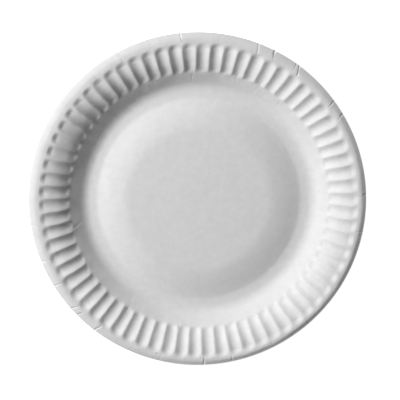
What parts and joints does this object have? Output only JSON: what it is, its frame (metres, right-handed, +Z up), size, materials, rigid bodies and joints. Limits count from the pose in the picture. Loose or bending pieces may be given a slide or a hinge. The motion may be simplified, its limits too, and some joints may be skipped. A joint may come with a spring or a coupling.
{
  "type": "paper plate",
  "caption": "Round paper plate with a slightly crowned panel, a narrow foot ring, a sloping wall, a fluted rim and a plain turned-down lip.",
  "frame": {"origin": "centre of the underside of the foot ring, on the surface that the plate stands on", "axes": "+Z up along the plate's axis, towards the eating side; one ridge of the rim lies along +X"},
  "size_m": [0.23, 0.23, 0.0169],
  "materials": {
    "pressed_paperboard": "uncoated white paperboard pressed in a heated die, matt with faint fibre mottling"
  },
  "bodies": {
    "root": {"fluted_plate": "pressed_paperboard"}
  },
  "joints": []
}
